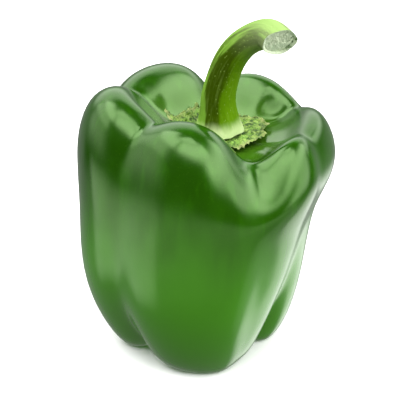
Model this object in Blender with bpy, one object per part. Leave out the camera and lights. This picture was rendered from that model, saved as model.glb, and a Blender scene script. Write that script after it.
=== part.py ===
"""A bell pepper: the lobed fruit, the calyx in its pit and the cut stem, as three closed solids.

The fruit stands on the feet of its lobes, with +Z up and the front lobe towards -Y. Driving sizes are in
millimetres and turn into metres when a mesh is made. Azimuths are degrees about the fruit's axis from +X.
"""

import math
from dataclasses import dataclass

import bmesh
import bpy
from mathutils import Vector

MM = 0.001
GAP = 0.3 * MM  # clearance between pieces that touch on the real fruit


@dataclass(frozen=True)
class Lobe:
    """One lobe of the fruit: where it bulges, and its heights and radii in millimetres.

    The foot's height is below the ground, because a spline only nears the points that pull it.
    """

    azimuth: float
    spread: float
    crest_height: float
    crest_radius: float
    shoulder_radius: float
    waist_radius: float
    hip_radius: float
    foot_radius: float
    foot_height: float


@dataclass(frozen=True)
class Groove:
    """A furrow between two lobes, with its depth at the crest, on the wall and at the foot (1 is deep).

    The rounding is the least number of degrees over which its bottom is rounded.
    """

    azimuth: float
    width: float
    crest_depth: float
    wall_depth: float
    foot_depth: float
    rounding: float = 0.0


LOBES = (
    Lobe(-110, 34, 92, 23, 43, 43, 39, 24, -4.8),  # front
    Lobe(-44, 18, 88.5, 31, 46, 39, 33, 20, -4.6),  # narrow front corner
    Lobe(-2, 24, 85, 29, 43.5, 35.5, 33, 23.5, -6.4),  # right
    Lobe(70, 28, 88, 24, 38, 38, 34, 22, -5.2),  # back right
    Lobe(137, 33, 91.5, 25, 44.5, 40, 36, 22, -5.4),  # back left
    Lobe(-171, 27, 95.5, 31, 50, 46.8, 42.2, 26, -6.8),  # left
)

GROOVES = (
    Groove(-140, 15, 0.8, 0.8, 1.0),  # left to front
    Groove(-69, 14, 1.75, 0.15, 0.0, 14),  # broad dip in the front lobe's crest
    Groove(-29, 11, 0.5, 0.7, 1.0),  # corner to right
    Groove(25, 16, 0.7, 0.5, 0.6),  # right to back right
    Groove(94, 11, 1.0, 0.8, 1.0),  # back right to back left
    Groove(164, 11, 0.75, 0.6, 0.9),  # back left to left
)

PIT_HEIGHT = 76.0  # floor of the pit that the calyx sits in
DIMPLE_HEIGHT = 9.0  # roof of the hollow under the fruit, between the feet
WAIST_HEIGHT = 54.0
HIP_HEIGHT = 27.0
LEAN = (6.0, 3.0)  # how far the pit stands off the axis through the feet, in X and Y
LEAN_HEIGHT = 90.0  # height over which the axis leans
CREST_ROUNDING = 5.0  # degrees over which a groove's bottom is rounded at the crest and foot
WALL_ROUNDING = 9.0  # the same on the wall
PRESS_ROUNDING = 0.4  # height over which a foot curves into the flat that it stands on

FRUIT_SIDES, FRUIT_ROWS = 76, 52

CALYX_SIDES, CALYX_ROWS = 60, 14
CALYX_REACH = 0.165  # how far down the fruit's meridian the calyx spreads, as a share of it
CALYX_TEETH = 6
CALYX_TOOTH = 0.06  # how far the teeth stand out, as a share of the reach
CALYX_THICKNESS = 1.3 * MM

STEM_BASE_RADIUS = 8.0
STEM_BASE = (6.4, 3.0)  # X and Y of the stem's foot on the calyx
STEM_ROUTE = (  # points that pull the stem's centre line, after its foot
    (6.4, 3.0, 84.0),
    (5.8, 3.0, 91.0),
    (7.8, 2.6, 98.8),
    (10.4, 1.6, 105.8),
    (14.8, 0.0, 111.8),
    (22.6, -3.0, 116.3),
    (25.9, -10.4, 115.1),
)
STEM_RADII = (6.3, 5.8, 5.5, 5.2, 5.0, 5.0, 5.5)
STEM_POINTS = 30


def wrapped(angle):
    """The angle in radians, brought between minus pi and pi."""
    return (angle + math.pi) % math.tau - math.pi


def lobe_value(name, azimuth):
    """A lobe measure at an azimuth: each lobe's own value, weighed by how near the lobe is."""
    total = weight = 0.0
    for lobe in LOBES:
        away = wrapped(azimuth - math.radians(lobe.azimuth)) / math.radians(lobe.spread)
        share = math.exp(-away * away)
        total += share * getattr(lobe, name)
        weight += share
    return total / weight


def groove_depth(name, azimuth, rounding):
    """How deep the grooves are at an azimuth, with their bottoms rounded over a few degrees."""
    depth = 0.0
    for groove in GROOVES:
        round_angle = math.radians(max(rounding, groove.rounding))
        away = wrapped(azimuth - math.radians(groove.azimuth))
        fall = (math.hypot(away, round_angle) - round_angle) / math.radians(groove.width)
        depth += getattr(groove, name) * math.exp(-fall)
    return depth


def meridian(azimuth):
    """The control points (radius, height) of the fruit's outline at an azimuth, from the pit to the dimple."""
    height = lobe_value("crest_height", azimuth)
    crest = lobe_value("crest_radius", azimuth)
    shoulder = lobe_value("shoulder_radius", azimuth)
    waist = lobe_value("waist_radius", azimuth)
    hip = lobe_value("hip_radius", azimuth)
    foot = lobe_value("foot_radius", azimuth)
    sole = lobe_value("foot_height", azimuth)
    top = groove_depth("crest_depth", azimuth, CREST_ROUNDING)
    wall = groove_depth("wall_depth", azimuth, WALL_ROUNDING)
    base = groove_depth("foot_depth", azimuth, CREST_ROUNDING)
    return (
        (0.0, PIT_HEIGHT),
        (8.0, PIT_HEIGHT),
        (15.0, PIT_HEIGHT + 1.0),
        (crest - 5.0 + top, height - 4.0 - 6.0 * top),
        (crest + 2.0 - top, height + 4.0 - 9.0 * top),
        (shoulder - 5.0 - 4.0 * top, height + 1.0 - 8.0 * top),
        (shoulder + 1.5 - 6.0 * wall, height - 16.0 - 5.5 * top),
        (waist + 0.5 - 4.0 * wall, WAIST_HEIGHT),
        (hip + 3.5 - 5.0 * wall, HIP_HEIGHT),
        (foot + 9.0 - 9.0 * base, 3.0 + 3.0 * base),
        (foot - 1.0 - 5.0 * base, sole + 8.0 * base),
        (8.0, DIMPLE_HEIGHT - 1.0),
        (3.0, DIMPLE_HEIGHT),
        (0.0, DIMPLE_HEIGHT),
    )


def spline_point(points, share):
    """The point at a share (0 to 1) of the uniform cubic B-spline that the given points pull."""
    spans = len(points) - 3
    span = min(int(share * spans), spans - 1)
    t = share * spans - span
    weights = (
        (1 - t) ** 3 / 6,
        (3 * t**3 - 6 * t**2 + 4) / 6,
        (-3 * t**3 + 3 * t**2 + 3 * t + 1) / 6,
        t**3 / 6,
    )
    return tuple(
        sum(weight * points[span + step][axis] for step, weight in enumerate(weights))
        for axis in range(len(points[0]))
    )


def pressed(height):
    """The height after the ground has pressed the foot flat, with a short rounding at the flat's edge."""
    if height > PRESS_ROUNDING:
        return height
    return max(height + PRESS_ROUNDING, 0.0) ** 2 / (4 * PRESS_ROUNDING)


def skin_point(azimuth, share):
    """The point on the fruit's skin at an azimuth and a share of the way from the pit to the dimple."""
    outline = meridian(azimuth)
    past_pit = (-outline[1][0], outline[1][1])  # mirrored through the axis, so that the poles are smooth
    past_dimple = (-outline[-2][0], outline[-2][1])
    radius, height = spline_point((past_pit, *outline, past_dimple), share)
    height = pressed(height)
    rise = min(height / LEAN_HEIGHT, 1.0)
    lean = rise * rise * (3 - 2 * rise)
    return Vector(
        (
            radius * math.cos(azimuth) + LEAN[0] * lean,
            radius * math.sin(azimuth) + LEAN[1] * lean,
            height,
        )
    ) * MM


def skin_normal(azimuth, share):
    """The unit vector out of the skin, from points a small step to each side."""
    step = 0.004
    along = skin_point(azimuth, share + step) - skin_point(azimuth, share - step)
    around = skin_point(azimuth + step, share) - skin_point(azimuth - step, share)
    return along.cross(around).normalized()


def sphere_mesh(sides, rows):
    """A unit UV sphere as a bmesh, ready to be moved into shape by azimuth and polar share."""
    mesh = bmesh.new()
    bmesh.ops.create_uvsphere(mesh, u_segments=sides, v_segments=rows, radius=1.0)
    return mesh


def sphere_place(vertex):
    """The azimuth of a unit sphere's vertex, and its share of the way from the top pole to the bottom one."""
    x, y, z = vertex.co
    return math.atan2(y, x), math.acos(max(-1.0, min(1.0, z))) / math.pi


def add_object(name, mesh, material):
    """Turns a bmesh into a named, smooth-shaded object in the scene."""
    data = bpy.data.meshes.new(name)
    mesh.to_mesh(data)
    mesh.free()
    data.shade_smooth()
    data.materials.append(material)
    made = bpy.data.objects.new(name, data)
    bpy.context.scene.collection.objects.link(made)
    return made


def add_material(name, colour, roughness):
    """A plain Principled material of one colour."""
    material = bpy.data.materials.new(name)
    material.use_nodes = True
    shader = material.node_tree.nodes["Principled BSDF"]
    shader.inputs["Base Color"].default_value = (*colour, 1.0)
    shader.inputs["Roughness"].default_value = roughness
    shader.inputs["Metallic"].default_value = 0.0
    return material


def build_fruit(material):
    """The fruit: a sphere whose rows and sides are drawn onto the lobed skin."""
    mesh = sphere_mesh(FRUIT_SIDES, FRUIT_ROWS)
    for vertex in mesh.verts:
        vertex.co = skin_point(*sphere_place(vertex))
    return add_object("fruit", mesh, material)


def calyx_edge(azimuth):
    """The share of the meridian at which the calyx ends, further out at its teeth."""
    return CALYX_REACH * (1 + CALYX_TOOTH * math.cos(CALYX_TEETH * azimuth))


def build_calyx(material):
    """The calyx: a thin dish that follows the pit, thick in the middle and thin at its toothed edge."""
    mesh = sphere_mesh(CALYX_SIDES, CALYX_ROWS)
    for vertex in mesh.verts:
        azimuth, polar = sphere_place(vertex)
        share = math.sin(polar * math.pi) * calyx_edge(azimuth)
        if share < 1e-4:
            foot, out = skin_point(0.0, 0.0), Vector((0.0, 0.0, 1.0))
        else:
            foot, out = skin_point(azimuth, share), skin_normal(azimuth, share)
        lift = CALYX_THICKNESS * (0.5 + 0.5 * math.cos(polar * math.pi))
        vertex.co = foot + out * (GAP + lift)
    return add_object("calyx", mesh, material)


def build_stem(material, seat):
    """The stem: a thick curve on the calyx that rises, bends to the right and hooks towards the front."""
    base = (*STEM_BASE, seat / MM)
    pulls = (base, *STEM_ROUTE)
    radii = (STEM_BASE_RADIUS, *STEM_RADII)
    before = (*STEM_BASE, 2 * base[2] - STEM_ROUTE[0][2])
    after = tuple(2 * last - previous for last, previous in zip(pulls[-1], pulls[-2]))
    route = (before, *pulls, after)
    widths = ((radii[0],), *((radius,) for radius in radii), (radii[-1],))
    curve = bpy.data.curves.new("stem", "CURVE")
    curve.dimensions = "3D"
    curve.bevel_depth = MM
    curve.bevel_resolution = 4
    curve.use_fill_caps = True
    line = curve.splines.new("POLY")
    line.points.add(STEM_POINTS - 1)
    for number, point in enumerate(line.points):
        share = number / (STEM_POINTS - 1)
        place = Vector(spline_point(route, share)) * MM
        point.co = (*place, 1.0)
        point.radius = spline_point(widths, share)[0]
    curve.materials.append(material)
    made = bpy.data.objects.new("stem", curve)
    bpy.context.scene.collection.objects.link(made)
    return made


def seat_height(calyx):
    """The height at which the stem's flat foot clears the calyx's top."""
    centre = Vector((*STEM_BASE, 0.0)) * MM
    reach = (STEM_BASE_RADIUS + 1.0) * MM
    under = [
        vertex.co.z
        for vertex in calyx.data.vertices
        if (vertex.co.xy - centre.xy).length < reach
    ]
    return max(under) + GAP


def centre_on_origin(fruit, others):
    """Moves everything so that the fruit's box is centred on the origin in X and Y."""
    xs = [vertex.co.x for vertex in fruit.data.vertices]
    ys = [vertex.co.y for vertex in fruit.data.vertices]
    shift = Vector(((min(xs) + max(xs)) / 2, (min(ys) + max(ys)) / 2, 0.0))
    for made in (fruit, *others):
        made.location -= shift


def main():
    """Clears the scene and builds the fruit, the calyx and the stem."""
    for old in list(bpy.data.objects):
        bpy.data.objects.remove(old)
    fruit = build_fruit(add_material("fruit_skin", (0.05, 0.17, 0.012), 0.2))
    calyx = build_calyx(add_material("calyx_green", (0.2, 0.32, 0.06), 0.7))
    stem = build_stem(add_material("stem_green", (0.14, 0.26, 0.02), 0.5), seat_height(calyx))
    centre_on_origin(fruit, (calyx, stem))


main()
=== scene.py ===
"""The looks of a green bell pepper: its glossy lobed skin, its crinkled calyx and its ribbed, cut stem.

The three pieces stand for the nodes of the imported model, in the same frame: metres, +Z up, the front
lobe towards -Y. Sizes below are in millimetres and azimuths are in degrees about the fruit's axis from +X,
unless a comment says otherwise.
"""

import logging
import math
from collections.abc import Sequence
from dataclasses import dataclass, field
from enum import Enum
from functools import cache

import bmesh
import bpy
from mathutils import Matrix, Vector, noise


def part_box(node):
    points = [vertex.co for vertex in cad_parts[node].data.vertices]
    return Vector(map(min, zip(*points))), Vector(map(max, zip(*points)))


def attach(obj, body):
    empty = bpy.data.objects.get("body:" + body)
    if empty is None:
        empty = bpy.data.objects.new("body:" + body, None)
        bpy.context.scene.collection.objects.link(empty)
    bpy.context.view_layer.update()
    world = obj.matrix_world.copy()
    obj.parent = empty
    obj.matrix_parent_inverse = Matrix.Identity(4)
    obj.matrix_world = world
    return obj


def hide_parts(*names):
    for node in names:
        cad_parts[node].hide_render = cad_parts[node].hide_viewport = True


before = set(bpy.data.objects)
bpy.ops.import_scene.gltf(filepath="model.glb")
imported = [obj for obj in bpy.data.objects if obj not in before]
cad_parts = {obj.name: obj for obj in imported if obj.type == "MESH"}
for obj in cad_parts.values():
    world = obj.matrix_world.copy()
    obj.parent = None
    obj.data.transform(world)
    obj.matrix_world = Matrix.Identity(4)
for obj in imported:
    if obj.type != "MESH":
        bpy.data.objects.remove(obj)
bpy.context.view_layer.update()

MM = 0.001
BODY = "root"
AZIMUTH_DIGITS = 6
PITH_MATERIAL = 1  # the pith's place among the stem's materials

Colour = tuple[float, float, float]

log = logging.getLogger("bell_pepper")


class Slot(Enum):
    """The record's material slots."""

    SKIN = "fruit_skin"
    CALYX = "calyx_leaf"
    STEM = "stem_bark"


class Grain(Enum):
    """Names of the mesh attributes that materials read."""

    ALONG = "along"  # share of the way from the pit to the underside, or from the stem's foot to its cut
    GROWTH = "growth"  # the stem's surface as if it grew straight, in metres


# ------------------------------------------------------------
# Small helpers for shapes


def wrapped(angle: float) -> float:
    """Returns the angle in radians, brought between minus pi and pi."""
    return (angle + math.pi) % math.tau - math.pi


def held(share: float) -> float:
    """Returns the share held between 0 and 1."""
    return min(max(share, 0.0), 1.0)


def smooth(low: float, high: float, value: float) -> float:
    """Returns 0 below low, 1 above high and a smooth step between them."""
    share = held((value - low) / (high - low))
    return share * share * (3 - 2 * share)


def spline_point(points: Sequence[Sequence[float]], share: float) -> tuple[float, ...]:
    """Finds a point on a uniform cubic B-spline.

    Args:
        points: The points that pull the spline.
        share: How far along the spline, from 0 to 1.

    Returns:
        The point, with as many numbers as each of the points has.
    """
    spans = len(points) - 3
    span = min(int(share * spans), spans - 1)
    t = share * spans - span
    a = (1 - t) ** 3 / 6
    b = (3 * t**3 - 6 * t**2 + 4) / 6
    c = (-3 * t**3 + 3 * t**2 + 3 * t + 1) / 6
    d = t**3 / 6
    first, second, third, fourth = points[span : span + 4]
    return tuple(
        a * first[axis] + b * second[axis] + c * third[axis] + d * fourth[axis]
        for axis in range(len(first))
    )


def sphere_mesh(sides: int, rows: int) -> bmesh.types.BMesh:
    """Makes a unit UV sphere, whose vertices are then moved into shape by their place on it.

    Args:
        sides: Vertices round it.
        rows: Rows of faces from pole to pole.

    Returns:
        The sphere.
    """
    mesh = bmesh.new()
    bmesh.ops.create_uvsphere(mesh, u_segments=sides, v_segments=rows, radius=1.0)
    return mesh


def sphere_place(vertex: bmesh.types.BMVert) -> tuple[float, float]:
    """Reads where a vertex lies on the unit sphere.

    Args:
        vertex: A vertex that hasn't been moved yet.

    Returns:
        Its azimuth in radians, rounded so that the vertices of a column share one outline, and its share
        of the way from the top pole to the bottom one.
    """
    x, y, z = vertex.co
    return round(math.atan2(y, x), AZIMUTH_DIGITS), math.acos(max(-1.0, min(1.0, z))) / math.pi


# ------------------------------------------------------------
# The fruit's shape


@dataclass(frozen=True)
class Lobe:
    """One lobe of the fruit: where it bulges, and its heights and radii in millimetres.

    The foot's height is below the ground, because a spline only nears the points that pull it.
    """

    azimuth: float
    spread: float
    crest_height: float
    crest_radius: float
    shoulder_radius: float
    waist_radius: float
    hip_radius: float
    foot_radius: float
    foot_height: float


@dataclass(frozen=True)
class Groove:
    """A furrow between two lobes, with its depth at the crest, on the wall and at the foot (1 is deep).

    The rounding is the least number of degrees over which its bottom is rounded.
    """

    azimuth: float
    width: float
    crest_depth: float
    wall_depth: float
    foot_depth: float
    rounding: float = 0.0


@dataclass(frozen=True)
class LobedSkin:
    """The surface of the fruit as a formula, about the axis through its feet.

    Each azimuth has an outline, a spline from the pit over the crest and down the wall to the dimple
    between the feet. The lobes' measures are blended round the fruit, and the grooves pull the outline in.
    """

    lobes: tuple[Lobe, ...] = (
        Lobe(-110, 34, 92, 23, 43, 43, 39, 24, -4.8),  # front
        Lobe(-44, 18, 88.5, 31, 46, 39, 33, 20, -4.6),  # narrow front corner
        Lobe(-2, 24, 85, 29, 43.5, 35.5, 33, 23.5, -6.4),  # right
        Lobe(70, 28, 88, 24, 38, 38, 34, 22, -5.2),  # back right
        Lobe(137, 33, 91.5, 25, 44.5, 40, 36, 22, -5.4),  # back left
        Lobe(-171, 27, 95.5, 31, 50, 46.8, 42.2, 26, -6.8),  # left
    )
    grooves: tuple[Groove, ...] = (
        Groove(-140, 15, 0.8, 0.8, 1.0),  # left to front
        Groove(-69, 14, 1.75, 0.15, 0.0, 14),  # broad dip in the front lobe's crest
        Groove(-29, 11, 0.5, 0.7, 1.0),  # corner to right
        Groove(25, 16, 0.7, 0.5, 0.6),  # right to back right
        Groove(94, 11, 1.0, 0.8, 1.0),  # back right to back left
        Groove(164, 11, 0.75, 0.6, 0.9),  # back left to left
    )
    pit_height: float = 76.0
    dimple_height: float = 9.0
    waist_height: float = 54.0
    hip_height: float = 27.0
    lean: tuple[float, float] = (6.0, 3.0)  # how far the top leans in X and Y
    lean_height: float = 90.0  # where the lean is complete
    crest_rounding: float = 5.0  # degrees over which a groove's bottom is rounded at the crest and foot
    wall_rounding: float = 9.0  # the same on the wall
    press_rounding: float = 0.4  # height over which the edge of a pressed foot is rounded

    def lobe_value(self, name: str, azimuth: float) -> float:
        """Blends one measure of the lobes at an azimuth.

        Args:
            name: The measure's field in Lobe.
            azimuth: The azimuth in radians.

        Returns:
            The measure, in which the nearest lobes weigh most.
        """
        total = weight = 0.0
        for lobe in self.lobes:
            away = wrapped(azimuth - math.radians(lobe.azimuth)) / math.radians(lobe.spread)
            share = math.exp(-away * away)
            total += share * getattr(lobe, name)
            weight += share
        return total / weight

    def groove_depth(self, name: str, azimuth: float, rounding: float) -> float:
        """Adds up the grooves at an azimuth.

        Args:
            name: The depth's field in Groove.
            azimuth: The azimuth in radians.
            rounding: Degrees over which a groove's bottom is rounded.

        Returns:
            The depth, where 1 is a deep groove.
        """
        depth = 0.0
        for groove in self.grooves:
            round_angle = math.radians(max(rounding, groove.rounding))
            away = wrapped(azimuth - math.radians(groove.azimuth))
            fall = (math.hypot(away, round_angle) - round_angle) / math.radians(groove.width)
            depth += getattr(groove, name) * math.exp(-fall)
        return depth

    @cache
    def outline(self, azimuth: float) -> tuple[tuple[float, float], ...]:
        """Finds the points that pull the outline at an azimuth.

        Args:
            azimuth: The azimuth in radians.

        Returns:
            Pairs of radius and height, with one more past each pole so that the poles are smooth.
        """
        height = self.lobe_value("crest_height", azimuth)
        crest = self.lobe_value("crest_radius", azimuth)
        shoulder = self.lobe_value("shoulder_radius", azimuth)
        waist = self.lobe_value("waist_radius", azimuth)
        hip = self.lobe_value("hip_radius", azimuth)
        foot = self.lobe_value("foot_radius", azimuth)
        sole = self.lobe_value("foot_height", azimuth)
        top = self.groove_depth("crest_depth", azimuth, self.crest_rounding)
        wall = self.groove_depth("wall_depth", azimuth, self.wall_rounding)
        base = self.groove_depth("foot_depth", azimuth, self.crest_rounding)
        return (
            (-8.0, self.pit_height),
            (0.0, self.pit_height),
            (8.0, self.pit_height),
            (15.0, self.pit_height + 1.0),
            (crest - 5.0 + top, height - 4.0 - 6.0 * top),
            (crest + 2.0 - top, height + 4.0 - 9.0 * top),
            (shoulder - 5.0 - 4.0 * top, height + 1.0 - 8.0 * top),
            (shoulder + 1.5 - 6.0 * wall, height - 16.0 - 5.5 * top),
            (waist + 0.5 - 4.0 * wall, self.waist_height),
            (hip + 3.5 - 5.0 * wall, self.hip_height),
            (foot + 9.0 - 9.0 * base, 3.0 + 3.0 * base),
            (foot - 1.0 - 5.0 * base, sole + 8.0 * base),
            (8.0, self.dimple_height - 1.0),
            (3.0, self.dimple_height),
            (0.0, self.dimple_height),
            (-3.0, self.dimple_height),
        )

    def pressed(self, height: float) -> float:
        """Presses the feet flat on the ground, with a short rounding at their edges.

        Args:
            height: A height on the plain outline.

        Returns:
            The height after the ground has pressed it.
        """
        if height > self.press_rounding:
            return height
        return max(height + self.press_rounding, 0.0) ** 2 / (4 * self.press_rounding)

    def point(self, azimuth: float, share: float) -> Vector:
        """Finds a point on the skin.

        Args:
            azimuth: The azimuth in radians.
            share: How far down the outline, from 0 in the pit to 1 in the dimple.

        Returns:
            The point in metres, from the axis through the feet.
        """
        radius, height = spline_point(self.outline(azimuth), share)
        height = self.pressed(height)
        lean = smooth(0.0, self.lean_height, height)
        x = radius * math.cos(azimuth) + self.lean[0] * lean
        y = radius * math.sin(azimuth) + self.lean[1] * lean
        return Vector((x, y, height)) * MM

    def normal(self, azimuth: float, share: float, step: float = 0.004) -> Vector:
        """Finds the unit vector out of the skin, from points a small step to each side.

        Args:
            azimuth: The azimuth in radians.
            share: How far down the outline.
            step: The step, in radians and as a share of the outline.

        Returns:
            The unit vector that points out of the skin.
        """
        along = self.point(azimuth, share + step) - self.point(azimuth, share - step)
        around = self.point(azimuth + step, share) - self.point(azimuth - step, share)
        return along.cross(around).normalized()


# ------------------------------------------------------------
# Small helpers for materials

MIX_INPUTS = (0, 6, 7)  # a Mix node's sockets for the share and two colours
MIX_OUTPUT = 2  # its socket for the mixed colour
SHADER_INPUTS = {
    "colour": "Base Color",
    "roughness": "Roughness",
    "index": "IOR",
    "gloss": "Specular IOR Level",
    "tint": "Specular Tint",
    "normal": "Normal",
}


class Nodes:
    """Builds a node tree, one short line to a node."""

    def __init__(self, tree: bpy.types.NodeTree) -> None:
        """Takes the tree to build in."""
        self.tree = tree

    def add(self, kind: str, **settings: object) -> bpy.types.Node:
        """Adds a node.

        Args:
            kind: The node's type, such as ShaderNodeMix.
            settings: Values for the node's own properties.

        Returns:
            The node.
        """
        node = self.tree.nodes.new(kind)
        for name, value in settings.items():
            setattr(node, name, value)
        return node

    def plug(self, socket: bpy.types.NodeSocket, value: object) -> None:
        """Links a socket to another one, or sets it.

        Args:
            socket: The input.
            value: Another node's output, or a number, vector or colour.
        """
        if isinstance(value, bpy.types.NodeSocket):
            self.tree.links.new(value, socket)
        elif isinstance(value, tuple) and len(value) == 3 and socket.type == "RGBA":
            socket.default_value = (*value, 1.0)
        else:
            socket.default_value = value

    def ramp(
        self,
        value: bpy.types.NodeSocket,
        low: float,
        high: float,
        start: float = 0.0,
        end: float = 1.0,
    ) -> bpy.types.NodeSocket:
        """Maps a value smoothly onto a new range.

        Args:
            value: The value.
            low: The value that gives start.
            high: The value that gives end.
            start: The result at and below low.
            end: The result at and above high.

        Returns:
            The mapped value.
        """
        node = self.add("ShaderNodeMapRange", interpolation_type="SMOOTHSTEP", clamp=True)
        for socket, number in zip(node.inputs, (value, low, high, start, end)):
            self.plug(socket, number)
        return node.outputs["Result"]

    def maths(self, operation: str, *values: object) -> bpy.types.NodeSocket:
        """Adds one step of arithmetic.

        Args:
            operation: The Math node's operation.
            values: The values that it takes, as numbers or other nodes' outputs.

        Returns:
            The result.
        """
        node = self.add("ShaderNodeMath", operation=operation)
        for socket, value in zip(node.inputs, values):
            self.plug(socket, value)
        return node.outputs["Value"]


class MaterialNodes(Nodes):
    """Builds a material round its Principled shader."""

    def __init__(self, name: str) -> None:
        """Starts a material.

        Args:
            name: The material's name.
        """
        self.material = bpy.data.materials.new(name)
        self.material.use_nodes = True
        super().__init__(self.material.node_tree)
        self.shader = self.tree.nodes["Principled BSDF"]

    def dress(self, **values: object) -> bpy.types.Material:
        """Plugs values into the shader.

        Args:
            values: A value for each input that is set, named as in SHADER_INPUTS.

        Returns:
            The finished material.
        """
        for name, value in values.items():
            self.plug(self.shader.inputs[SHADER_INPUTS[name]], value)
        return self.material

    def place(self) -> bpy.types.NodeSocket:
        """Returns the point on the object, in metres."""
        return self.add("ShaderNodeTexCoord").outputs["Object"]

    def grain(self, grain: Grain, output: str = "Fac") -> bpy.types.NodeSocket:
        """Returns one of the mesh's own attributes."""
        node = self.add("ShaderNodeAttribute", attribute_name=grain.value)
        return node.outputs[output]

    def axis(self, place: bpy.types.NodeSocket, name: str) -> bpy.types.NodeSocket:
        """Reads one of a place's coordinates.

        Args:
            place: The place.
            name: X, Y or Z.

        Returns:
            The coordinate.
        """
        node = self.add("ShaderNodeSeparateXYZ")
        self.plug(node.inputs["Vector"], place)
        return node.outputs[name]

    def stretched(self, place: bpy.types.NodeSocket, scale: Sequence[float]) -> bpy.types.NodeSocket:
        """Scales a place along each axis, so that a pattern is drawn out along the small ones.

        Args:
            place: The place.
            scale: The scale along X, Y and Z.

        Returns:
            The scaled place.
        """
        node = self.add("ShaderNodeMapping")
        self.plug(node.inputs["Vector"], place)
        self.plug(node.inputs["Scale"], scale)
        return node.outputs["Vector"]

    def cloud(
        self,
        place: bpy.types.NodeSocket,
        scale: float,
        detail: float = 2.0,
        roughness: float = 0.5,
        distortion: float = 0.0,
    ) -> bpy.types.NodeSocket:
        """Adds a noise pattern.

        Args:
            place: Where the pattern is read.
            scale: Features in a metre.
            detail: Octaves of finer noise.
            roughness: How strong the finer octaves are.
            distortion: How far the pattern is swirled.

        Returns:
            The pattern's strength, around 0.5.
        """
        node = self.add("ShaderNodeTexNoise")
        self.plug(node.inputs["Vector"], place)
        self.plug(node.inputs["Scale"], scale)
        self.plug(node.inputs["Detail"], detail)
        self.plug(node.inputs["Roughness"], roughness)
        self.plug(node.inputs["Distortion"], distortion)
        return node.outputs["Fac"]

    def cells(self, place: bpy.types.NodeSocket, scale: float) -> bpy.types.NodeSocket:
        """Scatters points, for dots and pores.

        Args:
            place: Where the pattern is read.
            scale: Points in a metre.

        Returns:
            The distance to the nearest point, as a share of the space between them.
        """
        node = self.add("ShaderNodeTexVoronoi")
        self.plug(node.inputs["Vector"], place)
        self.plug(node.inputs["Scale"], scale)
        return node.outputs["Distance"]

    def mix(self, share: object, first: object, second: object) -> bpy.types.NodeSocket:
        """Mixes two colours.

        Args:
            share: How much of the second colour, from 0 to 1.
            first: The first colour.
            second: The second colour.

        Returns:
            The mixed colour.
        """
        node = self.add("ShaderNodeMix", data_type="RGBA")
        for number, value in zip(MIX_INPUTS, (share, first, second)):
            self.plug(node.inputs[number], value)
        return node.outputs[MIX_OUTPUT]

    def bump(
        self,
        height: bpy.types.NodeSocket,
        distance: float,
        under: bpy.types.NodeSocket | None = None,
    ) -> bpy.types.NodeSocket:
        """Adds a bump.

        Args:
            height: The pattern of heights, from 0 to 1.
            distance: The height in metres that 1 stands for.
            under: A bump that this one lies on.

        Returns:
            The bent normal.
        """
        node = self.add("ShaderNodeBump")
        self.plug(node.inputs["Height"], height)
        self.plug(node.inputs["Distance"], distance)
        if under is not None:
            self.plug(node.inputs["Normal"], under)
        return node.outputs["Normal"]


# ------------------------------------------------------------
# The finishes, in which scales are a pattern's features in a metre, and relief and places are in metres


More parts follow.
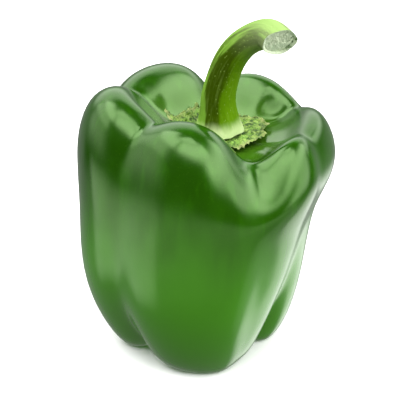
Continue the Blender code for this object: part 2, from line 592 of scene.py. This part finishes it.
@dataclass(frozen=True)
class SkinFinish:
    """The fruit's waxy, very glossy skin: deep green with faint clouds, paler where it meets the calyx,
    and lighter green lower down, where light from below is painted in.
    """

    deep: Colour = (0.0095, 0.05, 0.0003)
    # the lower wall's green is painted light from below; the same green also colours the streaks
    underglow_and_streak_green: Colour = (0.037, 0.185, 0.002)
    pale: Colour = (0.08, 0.2, 0.012)
    scar: Colour = (0.2, 0.17, 0.06)
    tint: Colour = (0.62, 1.0, 0.42)  # the wax takes on the green of the flesh under it
    gloss: float = 0.8
    index: float = 1.5
    roughness: float = 0.18
    painted_underglow_line: tuple[float, float] = (0.08, 0.03)  # heights in metres between which deep turns to the lower wall's green, a painted glow of light from below
    painted_underglow_sway: float = 0.007  # how far clouds move that line up or down, in metres
    pit_edge: tuple[float, float] = (0.13, 0.3)  # shares of the outline where the pit's paleness ends
    pit_paleness: float = 0.45
    scar_edge: tuple[float, float] = (0.985, 0.991)  # shares where the blossom's scar begins
    scar_ring: tuple[float, float] = (0.94, 0.985)  # shares where it pales before the scar
    cloud_scale: float = 38.0
    streak_scale: float = 260.0
    dot_scale: float = 900.0
    haze_scale: float = 120.0
    wave_scale: float = 150.0
    wave_relief: float = 0.00005
    pore_scale: float = 1400.0
    pore_relief: float = 0.00001

    def material(self) -> bpy.types.Material:
        """Makes the skin's material.

        Returns:
            The material.
        """
        nodes = MaterialNodes("glossy_green_skin")
        place = nodes.place()
        along = nodes.grain(Grain.ALONG)
        clouds = nodes.cloud(nodes.stretched(place, (1.0, 1.0, 0.45)), self.cloud_scale, 3.0, 0.55, 0.4)
        sway = nodes.ramp(clouds, 0.3, 0.7, -self.painted_underglow_sway, self.painted_underglow_sway)
        height = nodes.maths("ADD", nodes.axis(place, "Z"), sway)
        # painted light from below: the skin turns lighter green down the wall
        colour = nodes.mix(nodes.ramp(height, *self.painted_underglow_line), self.deep, self.underglow_and_streak_green)
        streaks = nodes.cloud(nodes.stretched(place, (1.0, 1.0, 0.16)), self.streak_scale, 2.0)
        colour = nodes.mix(nodes.ramp(streaks, 0.45, 0.8, 0.0, 0.2), colour, self.underglow_and_streak_green)
        dots = nodes.cells(place, self.dot_scale)
        colour = nodes.mix(nodes.ramp(dots, 0.08, 0.26, 0.08, 0.0), colour, self.pale)
        near_pit = nodes.ramp(along, *self.pit_edge, self.pit_paleness, 0.0)
        colour = nodes.mix(near_pit, colour, self.pale)
        colour = nodes.mix(nodes.ramp(along, *self.scar_ring, 0.0, 0.6), colour, self.pale)
        colour = nodes.mix(nodes.ramp(along, *self.scar_edge), colour, self.scar)
        haze = nodes.cloud(place, self.haze_scale, 3.0, 0.6)
        roughness = nodes.ramp(haze, 0.3, 0.75, self.roughness - 0.025, self.roughness + 0.05)
        waves = nodes.cloud(nodes.stretched(place, (1.0, 1.0, 0.5)), self.wave_scale, 1.0)
        pores = nodes.cloud(place, self.pore_scale, 2.0)
        normal = nodes.bump(pores, self.pore_relief, nodes.bump(waves, self.wave_relief))
        return nodes.dress(
            colour=colour,
            roughness=roughness,
            index=self.index,
            gloss=self.gloss,
            tint=self.tint,
            normal=normal,
        )


@dataclass(frozen=True)
class CalyxFinish:
    """The calyx: a rough yellow-green leaf with painted shade in its creases, painted highlights on its
    fine bumps, paler veins, and dry along its torn edge.
    """

    leaf: Colour = (0.15, 0.3, 0.03)
    # painted shade for the creases
    painted_crease_shade: Colour = (0.025, 0.075, 0.003)
    # the paler veins, and the painted highlight on the fine bumps
    vein_and_highlight_pale: Colour = (0.42, 0.58, 0.13)
    dry: Colour = (0.27, 0.31, 0.1)
    roughness: float = 0.5
    crease_scale: float = 420.0
    crease_relief: float = 0.0009
    fine_scale: float = 1500.0
    fine_relief: float = 0.00025
    vein_scale: float = 430.0
    dry_edge: tuple[float, float] = (0.86, 1.0)  # shares of the way out over which the leaf turns dry

    def material(self) -> bpy.types.Material:
        """Makes the calyx's material.

        Returns:
            The material.
        """
        nodes = MaterialNodes("crinkled_leaf")
        place = nodes.place()
        along = nodes.grain(Grain.ALONG)
        creases = nodes.cloud(place, self.crease_scale, 4.0, 0.62, 0.6)
        fine = nodes.cloud(place, self.fine_scale, 3.0, 0.6)
        veins = nodes.cells(nodes.stretched(place, (1.0, 1.0, 0.7)), self.vein_scale)
        # painted shade: darker where the wrinkles' bump is low
        colour = nodes.mix(nodes.ramp(creases, 0.4, 0.58), self.painted_crease_shade, self.leaf)
        # painted highlight: paler on the tops of the fine bumps
        colour = nodes.mix(nodes.ramp(fine, 0.5, 0.72, 0.0, 0.5), colour, self.vein_and_highlight_pale)
        colour = nodes.mix(nodes.ramp(veins, 0.5, 0.75, 0.0, 0.45), colour, self.vein_and_highlight_pale)
        dry = nodes.maths("MULTIPLY", nodes.ramp(along, *self.dry_edge), nodes.ramp(creases, 0.4, 0.6))
        colour = nodes.mix(dry, colour, self.dry)
        wrinkles = nodes.bump(creases, self.crease_relief)
        return nodes.dress(
            colour=colour,
            roughness=nodes.ramp(fine, 0.3, 0.7, self.roughness, self.roughness + 0.25),
            normal=nodes.bump(fine, self.fine_relief, wrinkles),
        )


@dataclass(frozen=True)
class BarkFinish:
    """The stem: olive and bright green sides that run its length, pale dots, a pale foot, and a top that
    pales towards its cut, partly as a painted highlight.
    """

    olive: Colour = (0.034, 0.066, 0.0004)
    green: Colour = (0.08, 0.185, 0.001)
    edge: Colour = (0.15, 0.3, 0.03)
    pale: Colour = (0.5, 0.62, 0.3)
    dot: Colour = (0.22, 0.34, 0.06)
    tint: Colour = (0.8, 1.0, 0.4)
    gloss: float = 0.06
    roughness: float = 0.6
    green_side: tuple[float, float] = (-0.001, 0.0022)  # places across, where olive turns to green
    edge_side: tuple[float, float] = (-0.0052, -0.0036)  # where the bright left edge turns to olive
    side_sway: float = 0.0015  # how far streaks move those places
    pale_foot: tuple[float, float] = (0.03, 0.14)  # shares of the stem over which the pale foot ends
    pale_highlit_top: tuple[float, float] = (0.6, 0.95)  # shares of it over which the stem pales towards its cut, partly a painted highlight of the light from above
    foot_sway: float = 0.012
    streak_scale: float = 330.0
    fibre_scale: float = 1500.0
    fibre_relief: float = 0.00004
    dot_scale: float = 1050.0
    dot_relief: float = 0.00008
    patch_scale: float = 240.0  # of the patches in which there are dots

    def material(self) -> bpy.types.Material:
        """Makes the bark's material.

        Returns:
            The material.
        """
        nodes = MaterialNodes("ribbed_green_bark")
        growth = nodes.grain(Grain.GROWTH, "Vector")
        along = nodes.grain(Grain.ALONG)
        streaks = nodes.cloud(nodes.stretched(growth, (1.0, 1.0, 0.12)), self.streak_scale, 3.0, 0.55)
        sway = nodes.ramp(streaks, 0.3, 0.7, -self.side_sway, self.side_sway)
        side = nodes.maths("ADD", nodes.axis(growth, "X"), sway)
        colour = nodes.mix(nodes.ramp(side, *self.green_side), self.olive, self.green)
        colour = nodes.mix(nodes.ramp(side, *self.edge_side, 1.0, 0.0), colour, self.edge)
        fibres = nodes.cloud(nodes.stretched(growth, (1.0, 1.0, 0.05)), self.fibre_scale, 2.0)
        colour = nodes.mix(nodes.ramp(fibres, 0.5, 0.8, 0.0, 0.22), colour, self.dot)
        dots = nodes.cells(nodes.stretched(growth, (1.0, 1.0, 0.6)), self.dot_scale)
        patches = nodes.ramp(nodes.cloud(growth, self.patch_scale, 3.0), 0.36, 0.6)
        speckle = nodes.maths("MULTIPLY", nodes.ramp(dots, 0.08, 0.3, 0.6, 0.0), patches)
        colour = nodes.mix(speckle, colour, self.dot)
        foot = nodes.maths("ADD", along, nodes.ramp(streaks, 0.3, 0.7, -self.foot_sway, self.foot_sway))
        colour = nodes.mix(nodes.ramp(foot, *self.pale_foot, 0.8, 0.0), colour, self.pale)
        # paler towards the cut: partly the stem's own colour, partly a painted highlight on its top bend
        colour = nodes.mix(nodes.ramp(along, *self.pale_highlit_top, 0.0, 0.3), colour, self.pale)
        return nodes.dress(
            colour=colour,
            roughness=nodes.ramp(streaks, 0.3, 0.7, self.roughness - 0.06, self.roughness + 0.1),
            gloss=self.gloss,
            tint=self.tint,
            normal=nodes.bump(dots, self.dot_relief, nodes.bump(fibres, self.fibre_relief)),
        )


@dataclass(frozen=True)
class PithFinish:
    """The stem's cut end: moist, pale grey-green pith, torn into darker fibres on its right."""

    pith: Colour = (0.76, 0.88, 0.6)
    moist: Colour = (0.52, 0.68, 0.42)
    fibre: Colour = (0.1, 0.2, 0.05)
    frayed_side: tuple[float, float] = (0.0235, 0.0275)  # places in X over which it turns fibrous
    roughness: float = 0.4
    fibre_scale: float = 520.0
    fibre_relief: float = 0.0002
    moist_scale: float = 260.0

    def material(self) -> bpy.types.Material:
        """Makes the pith's material.

        Returns:
            The material.
        """
        nodes = MaterialNodes("cut_pith")
        place = nodes.place()
        coarse = nodes.cloud(place, self.fibre_scale, 4.0, 0.6, 0.8)
        frayed = nodes.ramp(nodes.axis(place, "X"), *self.frayed_side, 0.04, 1.0)
        fibres = nodes.maths("MULTIPLY", nodes.ramp(coarse, 0.42, 0.52, 1.0, 0.0), frayed)
        colour = nodes.mix(fibres, self.pith, self.fibre)
        moist = nodes.ramp(nodes.cloud(place, self.moist_scale, 2.0), 0.4, 0.65, 0.0, 0.5)
        colour = nodes.mix(moist, colour, self.moist)
        normal = nodes.bump(coarse, self.fibre_relief)
        return nodes.dress(colour=colour, roughness=self.roughness, normal=normal)


# ------------------------------------------------------------
# The pieces


def add_piece(
    name: str,
    mesh: bmesh.types.BMesh,
    shift: Vector,
    slot: Slot,
    *materials: bpy.types.Material,
) -> bpy.types.Object:
    """Turns a finished bmesh into a piece of the model.

    Args:
        name: The piece's name.
        mesh: The shape, about the axis through the fruit's feet. It is freed.
        shift: How far that axis lies from the model's origin.
        slot: The record's material slot for the piece. It is not used.
        materials: The piece's materials.

    Returns:
        The object, riding on the model's one body.
    """
    bmesh.ops.translate(mesh, verts=mesh.verts, vec=shift)
    data = bpy.data.meshes.new(name)
    mesh.to_mesh(data)
    mesh.free()
    data.shade_smooth()
    for material in materials:
        data.materials.append(material)
    piece = bpy.data.objects.new(name, data)
    bpy.context.scene.collection.objects.link(piece)
    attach(piece, BODY)
    log.info("%s: %d faces", name, len(data.polygons))
    return piece


@dataclass
class Fruit:
    """The lobed fruit, with the slow waves that make its reflections wander."""

    skin: LobedSkin
    sides: int = 384
    rows: int = 256
    wave: float = 0.25  # height of the slow waves
    wave_length: tuple[float, float] = (15.0, 42.0)  # across and along the lobes
    ripple: float = 0.03  # height of the shorter waves on them
    ripple_length: tuple[float, float] = (6.0, 15.0)
    still_height: float = 6.0  # below this the waves die out, so that the feet stay flat
    shift: Vector = field(default_factory=Vector)  # the move in metres that centres it, set by build

    def relief(self, point: Vector) -> float:
        """Works out how far the waves lift the skin.

        Args:
            point: A point on the plain skin, in metres.

        Returns:
            The lift in metres.
        """
        x, y, z = point / MM
        total = 0.0
        waves = ((self.wave, self.wave_length), (self.ripple, self.ripple_length))
        for height, (across, length) in waves:
            total += height * noise.noise(Vector((x / across, y / across, z / length)))
        return total * smooth(0.0, self.still_height, z) * MM

    def build(self) -> bpy.types.Object:
        """Builds the fruit and centres it on the node that it stands for.

        Returns:
            The fruit's object.
        """
        mesh = sphere_mesh(self.sides, self.rows)
        share_layer = mesh.verts.layers.float.new(Grain.ALONG.value)
        for vertex in mesh.verts:
            azimuth, share = sphere_place(vertex)
            vertex.co = self.skin.point(azimuth, share)
            vertex[share_layer] = share
        mesh.normal_update()
        for vertex in mesh.verts:
            vertex.co += vertex.normal * self.relief(vertex.co)
        self.shift = self.centring(mesh)
        piece = add_piece("fruit_skin", mesh, self.shift, Slot.SKIN, SkinFinish().material())
        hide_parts("fruit")
        return piece

    def centring(self, mesh: bmesh.types.BMesh) -> Vector:
        """Works out the move that brings the mesh's box over the box of the node.

        Args:
            mesh: The fruit's mesh.

        Returns:
            The move in metres, level with the ground.
        """
        low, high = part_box("fruit")
        xs = [vertex.co.x for vertex in mesh.verts]
        ys = [vertex.co.y for vertex in mesh.verts]
        x = (low.x + high.x - min(xs) - max(xs)) / 2
        y = (low.y + high.y - min(ys) - max(ys)) / 2
        return Vector((x, y, 0.0))


@dataclass(frozen=True)
class Curl:
    """A stretch of the calyx's edge that stands off the fruit: where, how wide, how high and far out."""

    azimuth: float
    spread: float
    lift: float
    reach: float  # as a share of the calyx's own reach


@dataclass
class Calyx:
    """The calyx: a crinkled, ragged disc that lies in the pit and lifts off it along its edge."""

    skin: LobedSkin
    shift: Vector
    sides: int = 300
    rows: int = 96
    reach: float = 0.162  # how far down the outline it spreads, as a share of it
    middle: float = 0.02  # share of the way out up to which the pit counts as level
    gap: float = 0.25
    thickness: float = 0.9
    crinkle: float = 1.2  # height of the wrinkles
    crinkle_length: float = 3.0
    crinkled: tuple[float, float] = (0.3, 0.65)  # shares of the way out over which the wrinkles grow
    lifted: tuple[float, float] = (0.45, 1.0)  # shares of the way out over which the edge lifts
    ragged: float = 0.13  # how uneven the edge is, as a share of the reach
    ragged_tufts: float = 3.2  # how many times the edge's noise varies in one radian
    lift_sway: float = 0.6  # how unevenly the edge lifts
    lift_tufts: float = 4.0
    curls: tuple[Curl, ...] = (
        Curl(-35, 28, 1.6, 0.1),
        Curl(-80, 20, 0.8, 0.02),
        Curl(20, 26, 0.8, 0.08),
        Curl(75, 22, 1.4, 0.04),
        Curl(130, 26, 2.0, 0.06),
        Curl(172, 18, 1.6, 0.12),
        Curl(-140, 24, 0.8, 0.0),
    )

    def edge(self, azimuth: float) -> tuple[float, float]:
        """Finds the calyx's edge at an azimuth.

        Args:
            azimuth: The azimuth in radians.

        Returns:
            How far down the outline it lies, and how high it stands off the fruit in millimetres.
        """
        reach = 1.0
        lift = 0.0
        for curl in self.curls:
            away = wrapped(azimuth - math.radians(curl.azimuth)) / math.radians(curl.spread)
            share = math.exp(-away * away)
            reach += curl.reach * share
            lift += curl.lift * share
        round_place = Vector((math.cos(azimuth), math.sin(azimuth), 0.3))
        reach += self.ragged * noise.fractal(round_place * self.ragged_tufts, 0.7, 2.0, 4)
        lift *= 1.0 + self.lift_sway * noise.noise(round_place * self.lift_tufts)
        return self.reach * reach, lift

    def build(self) -> bpy.types.Object:
        """Builds the calyx.

        Returns:
            The calyx's object.
        """
        mesh = sphere_mesh(self.sides, self.rows)
        share_layer = mesh.verts.layers.float.new(Grain.ALONG.value)
        for vertex in mesh.verts:
            azimuth, polar = sphere_place(vertex)
            out_share = math.sin(polar * math.pi)
            reach, lift = self.edge(azimuth)
            foot = self.skin.point(azimuth, out_share * reach)
            out = Vector((0.0, 0.0, 1.0))
            if out_share > self.middle:
                out = self.skin.normal(azimuth, out_share * reach)
            over = 0.5 + 0.5 * math.cos(polar * math.pi)  # 1 on the upper side, 0 on the lower one
            wrinkle = noise.fractal(foot / (self.crinkle_length * MM), 0.6, 2.0, 4)
            stand = self.gap + lift * smooth(*self.lifted, out_share)
            stand += self.crinkle * abs(wrinkle) * smooth(*self.crinkled, out_share)
            stand += self.thickness * over
            vertex.co = foot + out * stand * MM
            vertex[share_layer] = out_share
        piece = add_piece("calyx_leaf", mesh, self.shift, Slot.CALYX, CalyxFinish().material())
        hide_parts("calyx")
        return piece


@dataclass(frozen=True)
class Section:
    """A place on the stem's centre line: its frame, its radius and its length from the foot."""

    point: Vector
    radius: float
    across: Vector
    beside: Vector
    along: Vector
    length: float


@dataclass
class Stem:
    """The stalk: a ribbed tube that rises from the calyx, bends to the right and is cut at a slant."""

    shift: Vector
    foot: tuple[float, float, float] = (6.4, 3.0, 78.4)
    route: tuple[tuple[float, float, float], ...] = (
        (6.4, 3.0, 84.0),
        (5.8, 3.0, 91.0),
        (7.8, 2.6, 98.8),
        (10.4, 1.6, 105.8),
        (14.8, 0.0, 111.8),
        (22.6, -3.0, 116.3),
        (25.9, -10.4, 115.1),
    )
    radii: tuple[float, ...] = (8.6, 6.3, 5.8, 5.5, 5.2, 5.0, 5.0, 5.6)
    line_steps: int = 1200
    sides: int = 160
    rows: int = 360
    cap_rows: int = 46  # rows of the cut face, from its middle to its rim
    foot_rows: int = 10  # rows of the face under the foot
    rib: float = 0.022  # height of the five broad ribs, as a share of the radius
    ribs: int = 5
    rib_turn: float = 0.6  # radians by which the ribs are turned
    foot_reach: float = 0.12  # share of the stem at its foot where the ribs are up to three times as high
    flute: float = 0.003  # height of the fine flutes
    flutes: int = 17
    flute_twist: float = 3.0  # radians by which the flutes' pattern turns along the stem
    gnarl: float = 0.3  # height of the bark's slow bumps
    gnarl_length: tuple[float, float] = (4.0, 11.0)
    cut_normal: tuple[float, float, float] = (0.14, -0.87, -0.47)
    cut_reach: float = 0.16  # share of the stem over which the rings tilt into the cut
    rim: float = 0.5  # how far the bark stands proud of the pith
    rim_width: float = 0.2  # share of the face's radius over which it does
    tear: float = 1.0  # depth of the tear between the bark and the pith
    tear_azimuth: float = 25.0
    tear_spread: float = 55.0
    tear_ring: tuple[float, float] = (0.82, 0.07)  # its place across the face and its width, as shares
    pith_rough: float = 0.25  # height of the pith's lumps
    pith_lumps: float = 3.5  # lumps across the face's radius

    def line(self) -> list[tuple[Vector, float]]:
        """Draws the centre line.

        Returns:
            Its points and radii in millimetres, at even steps from the foot to the cut.
        """
        pulls = (self.foot, *self.route)
        before = tuple(2 * a - b for a, b in zip(pulls[0], pulls[1]))
        after = tuple(2 * a - b for a, b in zip(pulls[-1], pulls[-2]))
        points = (before, *pulls, after)
        widths = tuple((radius,) for radius in (self.radii[0], *self.radii, self.radii[-1]))
        shares = [step / self.line_steps for step in range(self.line_steps + 1)]
        return [(Vector(spline_point(points, share)), spline_point(widths, share)[0]) for share in shares]

    def sections(self) -> list[Section]:
        """Carries a frame along the centre line without twisting it.

        Returns:
            A section for each step of the centre line.
        """
        line = self.line()
        across = Vector((1.0, 0.0, 0.0))
        length = 0.0
        made = []
        before = Vector((0.0, 0.0, 1.0))
        for number, (point, radius) in enumerate(line):
            ahead = line[min(number + 1, len(line) - 1)][0]
            behind = line[max(number - 1, 0)][0]
            along = (ahead - behind).normalized()
            across = before.rotation_difference(along) @ across
            before = along
            if number:
                length += (point - line[number - 1][0]).length
            made.append(Section(point, radius, across.copy(), along.cross(across), along, length))
        return made

    def build(self) -> bpy.types.Object:
        """Builds the stem.

        Returns:
            The stem's object.
        """
        sections = self.sections()
        end = sections[-1]
        mesh = sphere_mesh(self.sides, self.rows)
        share_layer = mesh.verts.layers.float.new(Grain.ALONG.value)
        growth_layer = mesh.verts.layers.float_vector.new(Grain.GROWTH.value)
        cut = Vector(self.cut_normal).normalized()
        bark_rows = self.rows - self.cap_rows - self.foot_rows
        for vertex in mesh.verts:
            azimuth, polar = sphere_place(vertex)
            row = round(polar * self.rows)
            inward = min(row / self.cap_rows, 1.0, (self.rows - row) / self.foot_rows)
            share = 1.0 - held((row - self.cap_rows) / bark_rows)
            section = sections[round(share * self.line_steps)]
            along = section.along
            ring = section.across * math.cos(azimuth) + section.beside * math.sin(azimuth)
            growth = Vector((math.cos(azimuth), math.sin(azimuth), 0.0)) * section.radius
            growth.z = section.length
            width = section.radius * self.swell(azimuth, share, growth)
            spot = section.point + ring * width * inward
            tilt = smooth(1.0 - self.cut_reach, 1.0, share)
            off = spot - end.point if tilt == 1.0 else ring * width
            spot -= along * tilt * off.dot(cut) / along.dot(cut)
            if row < self.cap_rows:
                spot -= end.along * self.hollow(azimuth, inward)
            vertex.co = spot * MM
            vertex[share_layer] = share
            vertex[growth_layer] = growth * MM
        for face in mesh.faces:
            if all(round(vertex[share_layer], 4) == 1.0 for vertex in face.verts):
                face.material_index = PITH_MATERIAL
        bark = BarkFinish().material()
        pith = PithFinish().material()
        piece = add_piece("stem_stalk", mesh, self.shift, Slot.STEM, bark, pith)
        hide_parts("stem")
        log.info("stem length %.1f mm", end.length)
        return piece

    def swell(self, azimuth: float, share: float, growth: Vector) -> float:
        """Works out how far the ribs, flutes and bumps swell the stem.

        Args:
            azimuth: The place round the stem in radians.
            share: The place along it, from 0 at the foot to 1 at the cut.
            growth: The same place on the stem as if it grew straight, in millimetres.

        Returns:
            The radius as a share of the plain one.
        """
        across, length = self.gnarl_length
        bumps = noise.noise(Vector((growth.x / across, growth.y / across, growth.z / length)))
        foot = 1.0 - smooth(0.0, self.foot_reach, share)
        swell = 1.0 + self.rib * math.cos(self.ribs * azimuth + self.rib_turn) * (1.0 + 2.0 * foot)
        swell += self.flute * math.cos(self.flutes * azimuth + self.flute_twist * share)
        return swell + self.gnarl / self.radii[3] * bumps

    def hollow(self, azimuth: float, inward: float) -> float:
        """Works out how far the cut face lies under the bark's rim.

        Args:
            azimuth: The place round the stem in radians.
            inward: The place across the face, from 0 in its middle to 1 at its rim.

        Returns:
            The depth in millimetres.
        """
        away = wrapped(azimuth - math.radians(self.tear_azimuth)) / math.radians(self.tear_spread)
        middle, half_width = self.tear_ring
        aside = (inward - middle) / half_width
        tear = self.tear * math.exp(-away * away) * math.exp(-aside * aside)
        face = Vector((math.cos(azimuth), math.sin(azimuth), 0.0)) * inward
        rough = self.pith_rough * noise.fractal(face * self.pith_lumps, 0.6, 2.0, 4)
        under_rim = self.rim * (1.0 - smooth(1.0 - self.rim_width, 1.0, inward))
        return under_rim + rough * (1.0 - inward**6) + tear


# ------------------------------------------------------------
# The studio


@dataclass(frozen=True)
class Softbox:
    """A soft light far away, as a patch of the sky: angles in degrees, azimuth 0 towards the camera.

    Azimuth grows towards +X. The feather is how far each edge fades, and the strength is its radiance.
    """

    azimuth: float
    half_width: float
    elevation: float
    half_height: float
    feather: float
    strength: float

    def light(
        self, nodes: Nodes, azimuth: bpy.types.NodeSocket, elevation: bpy.types.NodeSocket
    ) -> bpy.types.NodeSocket:
        """Adds the softbox to a sky.

        Args:
            nodes: The sky's nodes.
            azimuth: The azimuth of the place in the sky that is looked up.
            elevation: The elevation of that place.

        Returns:
            The softbox's radiance there.
        """
        turned = nodes.maths("WRAP", nodes.maths("SUBTRACT", azimuth, self.azimuth), 180.0, -180.0)
        raised = nodes.maths("SUBTRACT", elevation, self.elevation)
        across = self.faded(nodes, turned, self.half_width)
        up = self.faded(nodes, raised, self.half_height)
        return nodes.maths("MULTIPLY", nodes.maths("MULTIPLY", across, up), self.strength)

    def faded(self, nodes: Nodes, angle: bpy.types.NodeSocket, half: float) -> bpy.types.NodeSocket:
        """Returns 1 where an angle from the middle is under half, fading to 0 over the feather."""
        away = nodes.maths("ABSOLUTE", angle)
        return nodes.ramp(away, half - self.feather / 2, half + self.feather / 2, 1.0, 0.0)


@dataclass
class Studio:
    """A pale floor under a sky of soft lights, and the camera."""

    shift: Vector
    ambient: float = 0.015  # radiance all over the sky, added to the softboxes
    boxes: tuple[Softbox, ...] = (
        Softbox(-20, 60, 81, 13, 14, 5.5),  # overhead
        Softbox(-95, 43, 57.5, 13.5, 14, 5.6),  # upper left
        Softbox(-96, 34, 36, 14, 18, 3.0),  # left, fading downwards
        Softbox(-92, 28, 14, 16, 24, 1.5),  # left, just above the horizon
        Softbox(5, 51, 57, 14, 16, 6.0),  # upper right
        Softbox(70, 50, 38, 14, 22, 5.5),  # right, above the shoulders
        Softbox(74, 22, 14, 22, 18, 3.4),  # right
        Softbox(128, 22, 24, 10, 14, 2.8),  # right, towards the back
        Softbox(180, 50, 34, 22, 20, 2.2),  # behind
        Softbox(180, 60, -10, 16, 16, 0.35),  # low behind
        Softbox(0, 180, -56, 36, 8, 0.36),  # the ground's glow
        Softbox(-10, 88, -21, 7, 7, 0.8),  # the ground far away
        Softbox(-10, 92, -30, 10, 16, 0.55),  # the ground nearer by
        Softbox(-80, 20, -26, 11, 14, 1.9),  # the ground on the left
        Softbox(-132, 26, -38, 14, 14, 0.4),  # the ground at the left, further back
        Softbox(130, 26, -39, 14, 16, 2.3),  # the ground on the right, further back
        Softbox(88, 22, -40, 16, 20, 0.75),  # the ground on the right
    )
    target_height: float = 49.0
    distance: float = 620.0
    elevation: float = 26.0
    lens: float = 161.0
    sensor: float = 36.0
    rise: float = 0.0275  # the lens's shift upwards, as a share of the picture's width
    floor_size: float = 6.0
    floor_colour: Colour = (0.86, 0.86, 0.86)

    def build(self) -> None:
        """Builds the sky, the floor and the camera."""
        self.build_sky()
        self.build_floor()
        self.build_camera()
        bpy.context.scene.view_settings.view_transform = "Standard"

    def build_sky(self) -> None:
        """Builds the world: a plain white backdrop for the camera, and the soft lights for all else."""
        world = bpy.data.worlds.new("studio_sky")
        bpy.context.scene.world = world
        world.use_nodes = True
        nodes = Nodes(world.node_tree)
        split = nodes.add("ShaderNodeSeparateXYZ")
        nodes.plug(split.inputs["Vector"], nodes.add("ShaderNodeTexCoord").outputs["Generated"])
        x, y, z = split.outputs
        turn = nodes.maths("ARCTAN2", x, nodes.maths("MULTIPLY", y, -1.0))
        azimuth = nodes.maths("MULTIPLY", turn, math.degrees(1.0))
        elevation = nodes.maths("MULTIPLY", nodes.maths("ARCSINE", z), math.degrees(1.0))
        light = 0.0
        for box in self.boxes:
            light = nodes.maths("MAXIMUM", light, box.light(nodes, azimuth, elevation))
        light = nodes.maths("ADD", light, self.ambient)
        seen = nodes.add("ShaderNodeLightPath").outputs["Is Camera Ray"]
        background = world.node_tree.nodes["Background"]
        nodes.plug(background.inputs["Strength"], nodes.maths("MAXIMUM", light, seen))
        nodes.plug(background.inputs["Color"], (1.0, 1.0, 1.0))

    def build_floor(self) -> None:
        """Builds the floor, which is seen but leaves the lights below the horizon free to shine."""
        mesh = bmesh.new()
        bmesh.ops.create_grid(mesh, x_segments=1, y_segments=1, size=self.floor_size / 2)
        data = bpy.data.meshes.new("floor")
        mesh.to_mesh(data)
        mesh.free()
        nodes = MaterialNodes("pale_floor")
        data.materials.append(nodes.dress(colour=self.floor_colour, roughness=0.9, gloss=0.1))
        floor = bpy.data.objects.new("floor", data)
        bpy.context.scene.collection.objects.link(floor)
        floor.visible_glossy = False
        floor.visible_diffuse = False
        floor.visible_shadow = False

    def build_camera(self) -> None:
        """Builds the camera and aims it at the middle of the fruit."""
        slope = math.radians(self.elevation)
        back = Vector((0.0, -math.cos(slope), math.sin(slope)))
        target = Vector((0.0, 0.0, self.target_height)) * MM + self.shift
        data = bpy.data.cameras.new("camera")
        data.lens = self.lens
        data.sensor_width = self.sensor
        data.shift_y = self.rise
        camera = bpy.data.objects.new("camera", data)
        camera.location = target + back * self.distance * MM
        camera.rotation_mode = "QUATERNION"
        camera.rotation_quaternion = back.to_track_quat("Z", "Y")
        bpy.context.scene.collection.objects.link(camera)
        bpy.context.scene.camera = camera


def main() -> None:
    """Builds the pieces and the studio in order."""
    logging.basicConfig(level=logging.INFO, format="%(name)s: %(message)s")
    skin = LobedSkin()
    fruit = Fruit(skin)
    fruit.build()
    Calyx(skin, fruit.shift).build()
    Stem(fruit.shift).build()
    Studio(fruit.shift).build()


if __name__ == "__main__":
    main()
